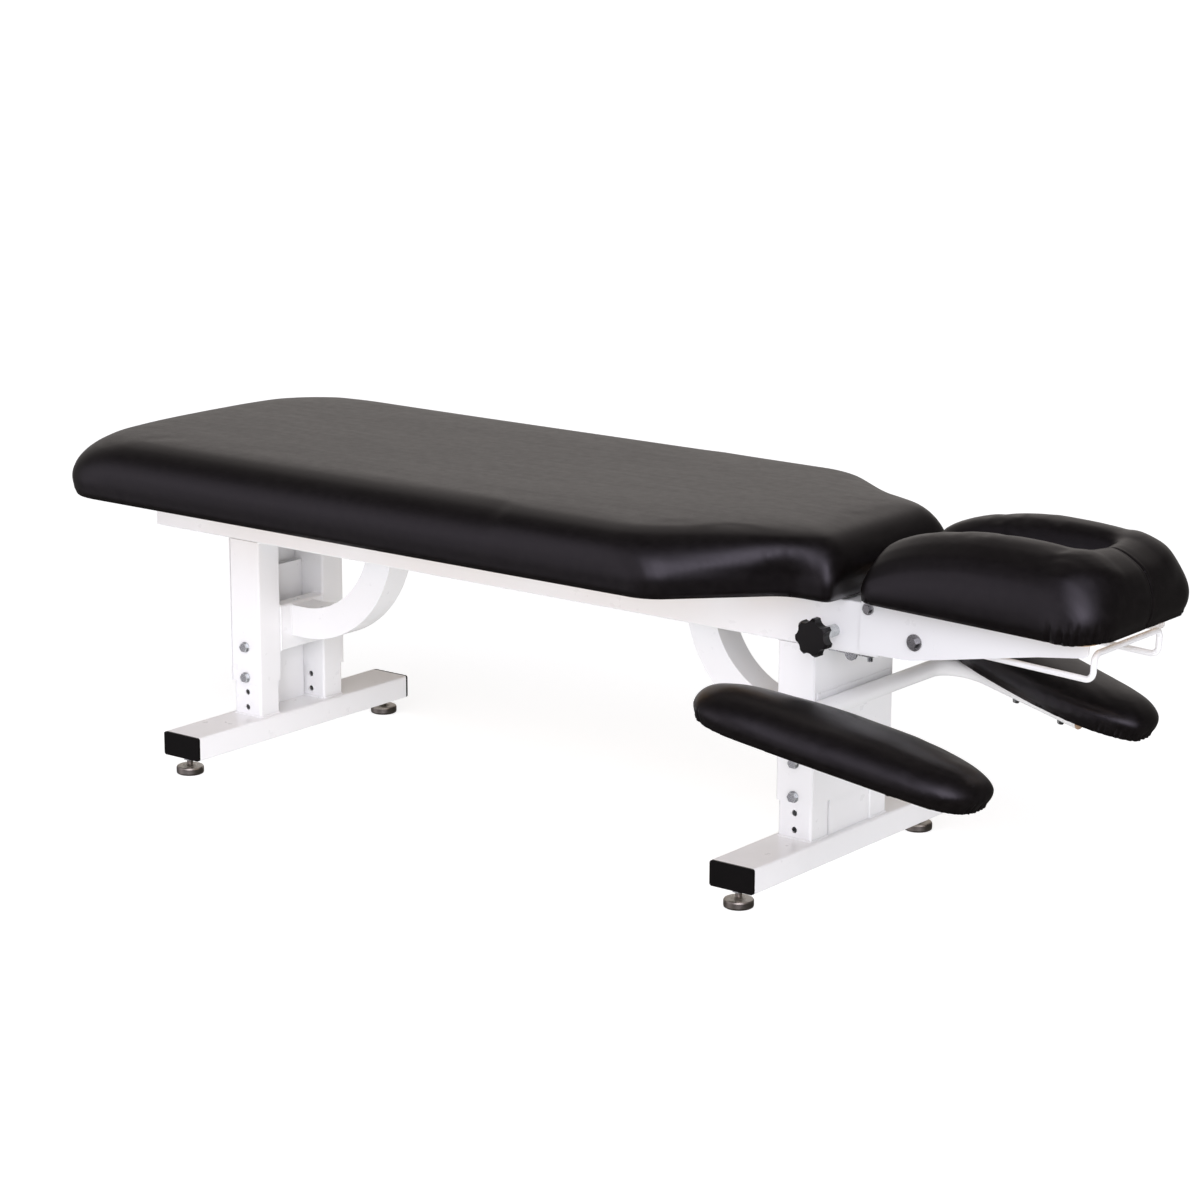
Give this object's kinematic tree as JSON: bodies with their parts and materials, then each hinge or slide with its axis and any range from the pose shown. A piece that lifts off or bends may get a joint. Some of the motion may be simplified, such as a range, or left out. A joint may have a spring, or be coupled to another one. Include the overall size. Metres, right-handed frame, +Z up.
{
  "type": "chiropractic table",
  "caption": "Padded treatment table on two white steel stands with set heights, a tilting headpiece with a face slot and low padded armrests.",
  "frame": {"origin": "on the floor, under the middle of the overall length and width", "axes": "+X towards the head end, +Y towards the long side that is far in the picture, +Z up"},
  "size_m": [1.8288, 0.7078, 0.5562],
  "materials": {
    "frame_white": "gloss powder coat",
    "vinyl": "semi-gloss upholstery vinyl over foam",
    "end_plug": "matte moulded",
    "knob_black": "satin moulded",
    "zinc": "bright zinc plated",
    "foot_nickel": "satin nickel plated",
    "plywood": "unfinished",
    "fibre": "matte friction fibre",
    "tan_plug": "matte"
  },
  "bodies": {
    "foot_base": {"foot_base_tube": "frame_white", "foot_base_caps": "end_plug", "foot_leg_near": "frame_white", "foot_leg_far": "frame_white", "foot_lower_panel": "frame_white", "foot_lock_nuts": "zinc"},
    "frame": {"foot_sleeve_near": "frame_white", "foot_sleeve_far": "frame_white", "head_sleeve_near": "frame_white", "head_sleeve_far": "frame_white", "foot_upper_panel": "frame_white", "head_upper_panel": "frame_white", "foot_cross_tube": "frame_white", "head_cross_tube": "frame_white", "foot_brace": "frame_white", "head_brace": "frame_white", "rail_near": "frame_white", "rail_far": "frame_white", "rail_end_caps": "frame_white", "cross_members": "frame_white", "cushion_straps": "frame_white", "height_bolts": "zinc", "height_washers": "zinc", "body_board": "plywood", "body_cushion": "vinyl", "board_screws": "zinc", "pivot_bolts": "zinc", "pivot_nuts": "zinc", "tilt_bracket": "zinc", "bracket_bolts": "zinc", "friction_washers": "fibre", "armrest_backplate": "frame_white", "armrest_bar": "frame_white", "armrest_plugs": "tan_plug", "armrest_saddles": "frame_white", "armrest_bolts": "zinc", "armrest_boards": "plywood", "armrest_pad_near": "vinyl", "armrest_pad_far": "vinyl"},
    "head_base": {"head_base_tube": "frame_white", "head_base_caps": "end_plug", "head_leg_near": "frame_white", "head_leg_far": "frame_white", "head_lower_panel": "frame_white", "head_lock_nuts": "zinc"},
    "headpiece": {"headpiece_plate_near": "frame_white", "headpiece_plate_far": "frame_white", "headpiece_crossbars": "frame_white", "head_board": "plywood", "head_cushion": "vinyl", "link_bolt": "zinc", "link_spacers": "zinc", "wire_bail": "frame_white"},
    "tilt_link": {"tilt_link": "zinc"},
    "tilt_knob": {"star_knob": "knob_black", "knob_stud": "zinc"},
    "foot_leveler_near": {"foot_leveler_near": "foot_nickel"},
    "foot_leveler_far": {"foot_leveler_far": "foot_nickel"},
    "head_leveler_near": {"head_leveler_near": "foot_nickel"},
    "head_leveler_far": {"head_leveler_far": "foot_nickel"}
  },
  "joints": [
    {"name": "height", "type": "slide", "parent": "foot_base", "child": "frame", "axis": [0, 0, 1], "range_m": [-0.0508, 0.1524]},
    {"name": "height_head_end", "type": "slide", "parent": "frame", "child": "head_base", "axis": [0, 0, 1], "range_m": [-0.1524, 0.0508]},
    {"name": "head_tilt", "type": "hinge", "parent": "frame", "child": "headpiece", "pos_m": [0.527, 0, 0.429], "axis": [0, -1, 0], "range_deg": [-30, 25]},
    {"name": "link_swing", "type": "hinge", "parent": "headpiece", "child": "tilt_link", "pos_m": [0.604, -0.046, 0.3923], "axis": [0, -1, 0], "range_deg": [-14, 14]},
    {"name": "knob_turn", "type": "hinge", "parent": "frame", "child": "tilt_knob", "pos_m": [0.468, -0.15, 0.3883], "axis": [0, -1, 0], "range_deg": [0, 450]},
    {"name": "foot_leveler_near_turn", "type": "hinge", "parent": "foot_base", "child": "foot_leveler_near", "pos_m": [-0.6785, -0.235, 0], "axis": [0, 0, 1], "continuous": true},
    {"name": "foot_leveler_far_turn", "type": "hinge", "parent": "foot_base", "child": "foot_leveler_far", "pos_m": [-0.6785, 0.235, 0], "axis": [0, 0, 1], "continuous": true},
    {"name": "head_leveler_near_turn", "type": "hinge", "parent": "head_base", "child": "head_leveler_near", "pos_m": [0.403, -0.235, 0], "axis": [0, 0, 1], "continuous": true},
    {"name": "head_leveler_far_turn", "type": "hinge", "parent": "head_base", "child": "head_leveler_far", "pos_m": [0.403, 0.235, 0], "axis": [0, 0, 1], "continuous": true}
  ],
  "couplings": [
    {"joint": "height_head_end", "follows": "height", "ratio": -1},
    {"joint": "link_swing", "follows": "head_tilt", "ratio": -0.44}
  ]
}
